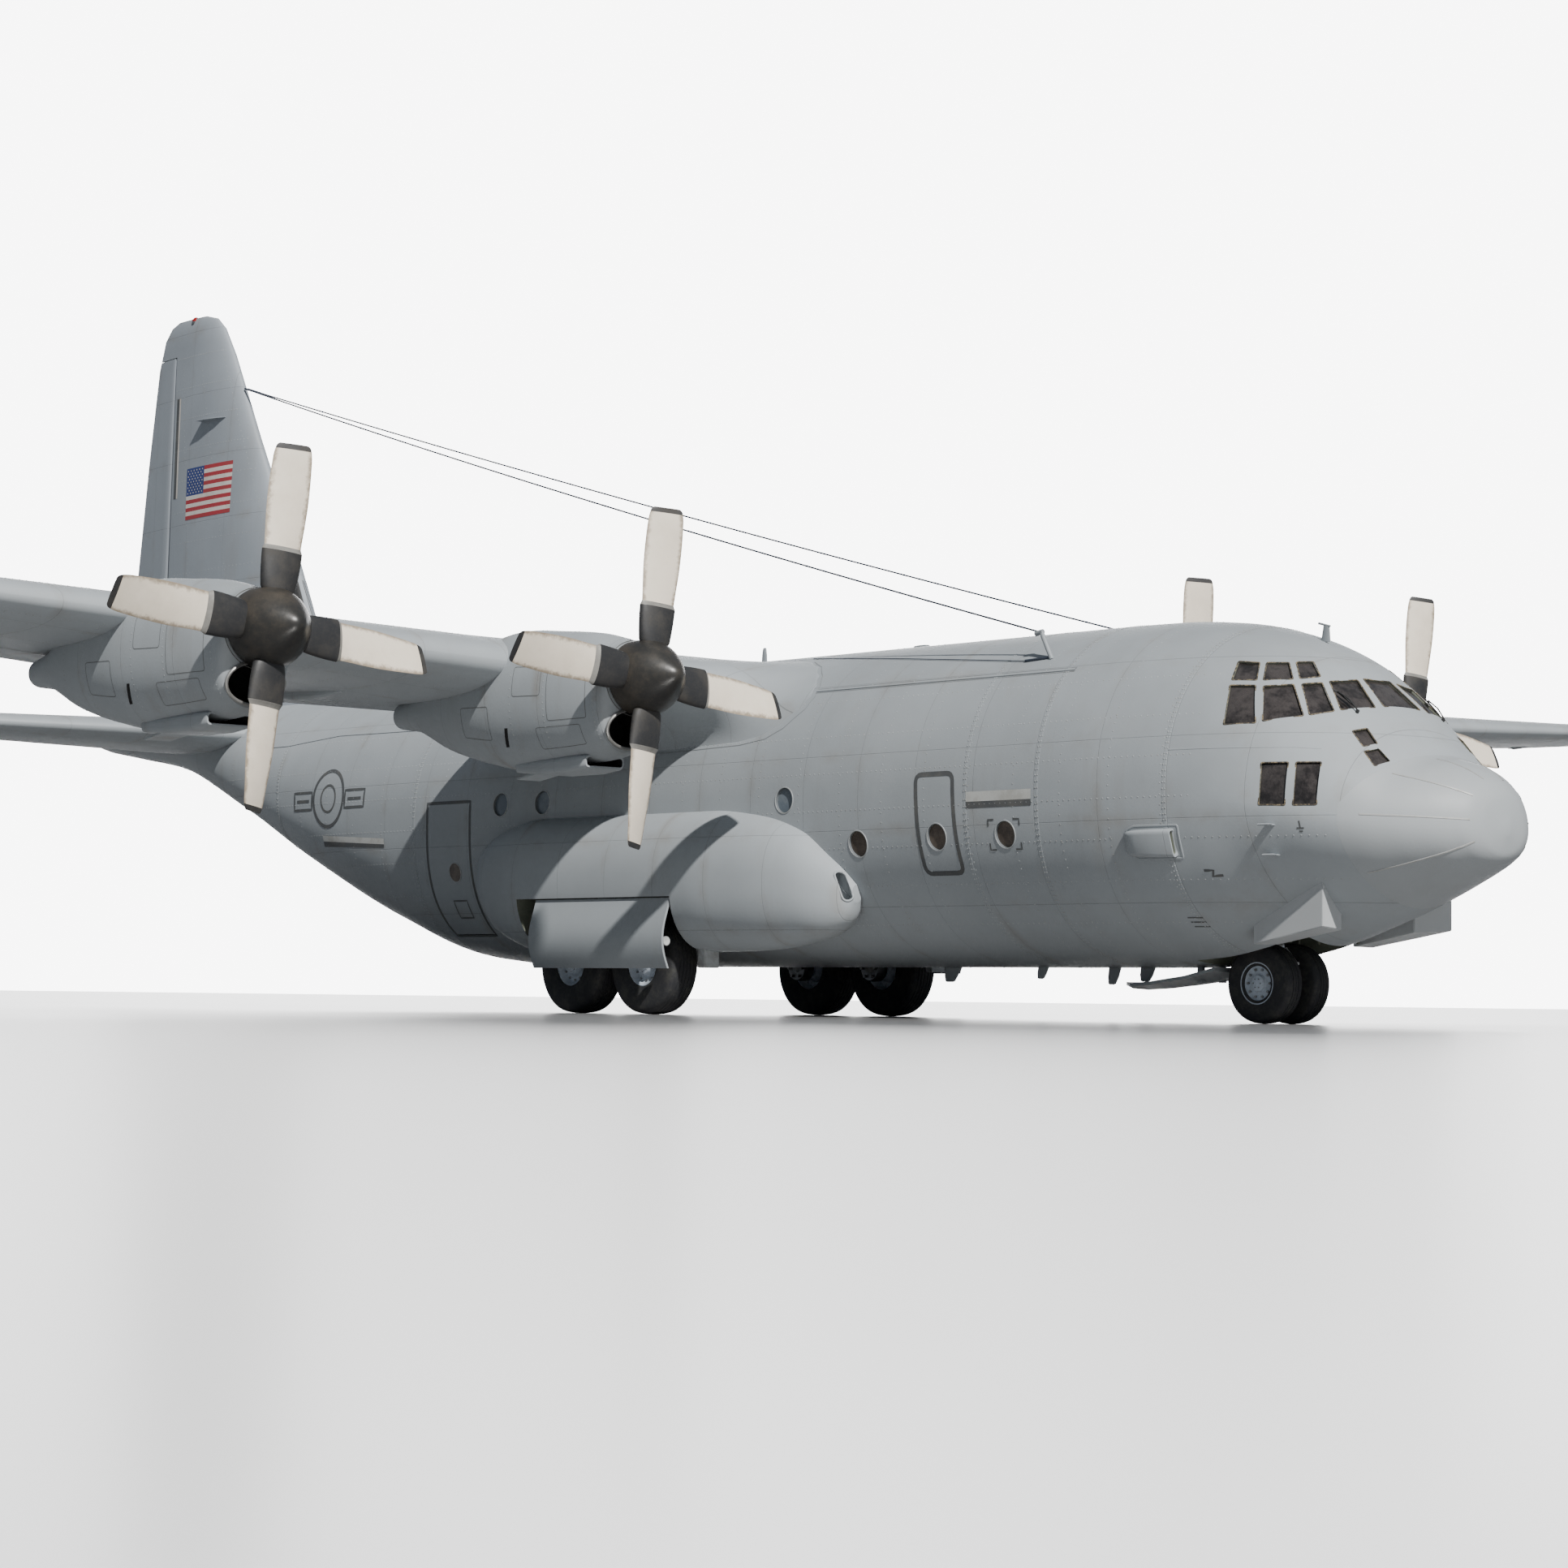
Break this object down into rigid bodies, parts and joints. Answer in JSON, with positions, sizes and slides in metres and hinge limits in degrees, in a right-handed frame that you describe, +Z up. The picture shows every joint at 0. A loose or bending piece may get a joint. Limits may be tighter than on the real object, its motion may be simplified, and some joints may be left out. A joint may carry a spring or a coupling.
{
  "type": "four-engine turboprop military transport plane, unarmed, scale model 1:2",
  "caption": "High-wing turboprop transport plane with a tail ramp, parked on its gear, turning propellers and hinged doors and control surfaces.",
  "frame": {"origin": "on the ground under the middle of the bounding box", "axes": "+X forward to the nose, +Y to port, +Z up"},
  "size_m": [14.895, 20.205, 5.84],
  "materials": {
    "grey_paint": "matt mid grey, faint brown stains along seams",
    "dark_glass": "dark, dusty cockpit glass",
    "deck": "matt dark grey deck paint",
    "gear_white": "pale grey enamel",
    "engine_steel": "heat-tinted steel",
    "blade_paint": "worn cream paint, black cuffs and tips",
    "tyre_rubber": "black ribbed rubber",
    "rim_metal": "blue-grey enamel"
  },
  "bodies": {
    "airframe": {"radome": "grey_paint", "cockpit_section": "grey_paint", "cockpit_glazing": "dark_glass", "forward_fuselage": "grey_paint", "centre_fuselage": "grey_paint", "aft_fuselage": "grey_paint", "cargo_floor": "deck", "flight_deck": "deck", "wing_centre": "grey_paint", "wing_left": "grey_paint", "wing_right": "grey_paint", "nacelle_1": "grey_paint", "nacelle_2": "grey_paint", "nacelle_3": "grey_paint", "nacelle_4": "grey_paint", "engine_1": "engine_steel", "engine_2": "engine_steel", "engine_3": "engine_steel", "engine_4": "engine_steel", "fin": "grey_paint", "tailplane": "grey_paint", "sponson_left": "grey_paint", "sponson_right": "grey_paint", "main_leg_left": "gear_white", "main_leg_right": "gear_white", "nose_leg": "gear_white", "nose_aft_door": "grey_paint", "paratroop_door_left": "grey_paint", "paratroop_door_right": "grey_paint"},
    "propeller_1": {"propeller_1": "blade_paint"},
    "propeller_2": {"propeller_2": "blade_paint"},
    "propeller_3": {"propeller_3": "blade_paint"},
    "propeller_4": {"propeller_4": "blade_paint"},
    "main_wheel_front_left": {"main_rim_front_left": "rim_metal", "main_tyre_front_left": "tyre_rubber"},
    "main_wheel_front_right": {"main_rim_front_right": "rim_metal", "main_tyre_front_right": "tyre_rubber"},
    "main_wheel_rear_left": {"main_rim_rear_left": "rim_metal", "main_tyre_rear_left": "tyre_rubber"},
    "main_wheel_rear_right": {"main_rim_rear_right": "rim_metal", "main_tyre_rear_right": "tyre_rubber"},
    "nose_steering": {"nose_fork": "gear_white"},
    "nose_wheelset": {"nose_wheels": "rim_metal", "nose_tyre_left": "tyre_rubber", "nose_tyre_right": "tyre_rubber"},
    "rudder": {"rudder": "grey_paint"},
    "elevators": {"elevator_left": "grey_paint", "elevator_right": "grey_paint"},
    "aileron_left": {"aileron_left": "grey_paint"},
    "aileron_right": {"aileron_right": "grey_paint"},
    "flap_inner_left": {"flap_inner_left": "grey_paint"},
    "flap_inner_right": {"flap_inner_right": "grey_paint"},
    "flap_outer_left": {"flap_outer_left": "grey_paint"},
    "flap_outer_right": {"flap_outer_right": "grey_paint"},
    "crew_door": {"crew_door": "grey_paint"},
    "cargo_ramp": {"cargo_ramp": "grey_paint"},
    "cargo_door": {"cargo_door": "grey_paint"},
    "gear_door_left": {"gear_door_left": "grey_paint"},
    "gear_door_right": {"gear_door_right": "grey_paint"}
  },
  "joints": [
    {"name": "propeller_1_spin", "type": "hinge", "parent": "airframe", "child": "propeller_1", "pos_m": [2.7875, 5.1, 2.1615], "axis": [1, 0, 0], "continuous": true},
    {"name": "propeller_2_spin", "type": "hinge", "parent": "airframe", "child": "propeller_2", "pos_m": [2.9375, 2.475, 2.0535], "axis": [1, 0, 0], "continuous": true},
    {"name": "propeller_3_spin", "type": "hinge", "parent": "airframe", "child": "propeller_3", "pos_m": [2.9375, -2.475, 2.0535], "axis": [1, 0, 0], "continuous": true},
    {"name": "propeller_4_spin", "type": "hinge", "parent": "airframe", "child": "propeller_4", "pos_m": [2.7875, -5.1, 2.1615], "axis": [1, 0, 0], "continuous": true},
    {"name": "main_wheel_front_left_roll", "type": "hinge", "parent": "airframe", "child": "main_wheel_front_left", "pos_m": [1.3485, 1.09, 0.335], "axis": [0, 1, 0], "continuous": true},
    {"name": "main_wheel_front_right_roll", "type": "hinge", "parent": "airframe", "child": "main_wheel_front_right", "pos_m": [1.3485, -1.09, 0.335], "axis": [0, 1, 0], "continuous": true},
    {"name": "main_wheel_rear_left_roll", "type": "hinge", "parent": "airframe", "child": "main_wheel_rear_left", "pos_m": [0.5865, 1.09, 0.335], "axis": [0, 1, 0], "continuous": true},
    {"name": "main_wheel_rear_right_roll", "type": "hinge", "parent": "airframe", "child": "main_wheel_rear_right", "pos_m": [0.5865, -1.09, 0.335], "axis": [0, 1, 0], "continuous": true},
    {"name": "nose_steer", "type": "hinge", "parent": "airframe", "child": "nose_steering", "pos_m": [5.7975, 0, 0.2375], "axis": [0, 0, 1], "range_deg": [-60, 60]},
    {"name": "nose_wheels_roll", "type": "hinge", "parent": "nose_steering", "child": "nose_wheelset", "pos_m": [5.7975, 0, 0.2375], "axis": [0, 1, 0], "continuous": true},
    {"name": "rudder_hinge", "type": "hinge", "parent": "airframe", "child": "rudder", "pos_m": [-6.4725, 0, 4.0875], "axis": [0.0174, 0, 0.9998], "range_deg": [-35, 35]},
    {"name": "elevator_hinge", "type": "hinge", "parent": "airframe", "child": "elevators", "pos_m": [-5.5375, 0, 2.15], "axis": [0, 1, 0], "range_deg": [-15, 40]},
    {"name": "aileron_left_hinge", "type": "hinge", "parent": "airframe", "child": "aileron_left", "pos_m": [0.3988, 8.2125, 2.39919], "axis": [0.0664, 0.9967, 0.0475], "range_deg": [-15, 25]},
    {"name": "aileron_right_hinge", "type": "hinge", "parent": "airframe", "child": "aileron_right", "pos_m": [0.3988, -8.2125, 2.39919], "axis": [-0.0664, 0.9967, -0.0475], "range_deg": [-15, 25]},
    {"name": "flap_inner_left_travel", "type": "hinge", "parent": "airframe", "child": "flap_inner_left", "pos_m": [-0.02307, 1.95, 1.90915], "axis": [0, -1, 0], "range_deg": [0, 36]},
    {"name": "flap_inner_right_travel", "type": "hinge", "parent": "airframe", "child": "flap_inner_right", "pos_m": [-0.02307, -1.95, 1.90915], "axis": [0, -1, 0], "range_deg": [0, 36]},
    {"name": "flap_outer_left_travel", "type": "hinge", "parent": "airframe", "child": "flap_outer_left", "pos_m": [0.11056, 4.6625, 1.99911], "axis": [-0.0713, -0.9963, -0.048], "range_deg": [0, 36]},
    {"name": "flap_outer_right_travel", "type": "hinge", "parent": "airframe", "child": "flap_outer_right", "pos_m": [0.11056, -4.6625, 1.99911], "axis": [0.0713, -0.9963, 0.048], "range_deg": [0, 36]},
    {"name": "crew_door_hinge", "type": "hinge", "parent": "airframe", "child": "crew_door", "pos_m": [5.5075, 0.66022, 0.53], "axis": [-1, 0, 0], "range_deg": [0, 95]},
    {"name": "cargo_ramp_hinge", "type": "hinge", "parent": "airframe", "child": "cargo_ramp", "pos_m": [-1.3035, 0, 0.3751], "axis": [0, -1, 0], "range_deg": [0, 30]},
    {"name": "cargo_door_hinge", "type": "hinge", "parent": "airframe", "child": "cargo_door", "pos_m": [-4.6325, 0, 1.75837], "axis": [0, -1, 0], "range_deg": [0, 30]},
    {"name": "gear_door_left_hinge", "type": "hinge", "parent": "airframe", "child": "gear_door_left", "pos_m": [1.0725, 1.33, 0.765], "axis": [1, 0, 0], "range_deg": [0, 35]},
    {"name": "gear_door_right_hinge", "type": "hinge", "parent": "airframe", "child": "gear_door_right", "pos_m": [1.0725, -1.33, 0.765], "axis": [-1, 0, 0], "range_deg": [0, 35]}
  ],
  "couplings": [
    {"joint": "flap_inner_right_travel", "follows": "flap_inner_left_travel", "ratio": 1},
    {"joint": "flap_outer_left_travel", "follows": "flap_inner_left_travel", "ratio": 1},
    {"joint": "flap_outer_right_travel", "follows": "flap_inner_left_travel", "ratio": 1}
  ]
}
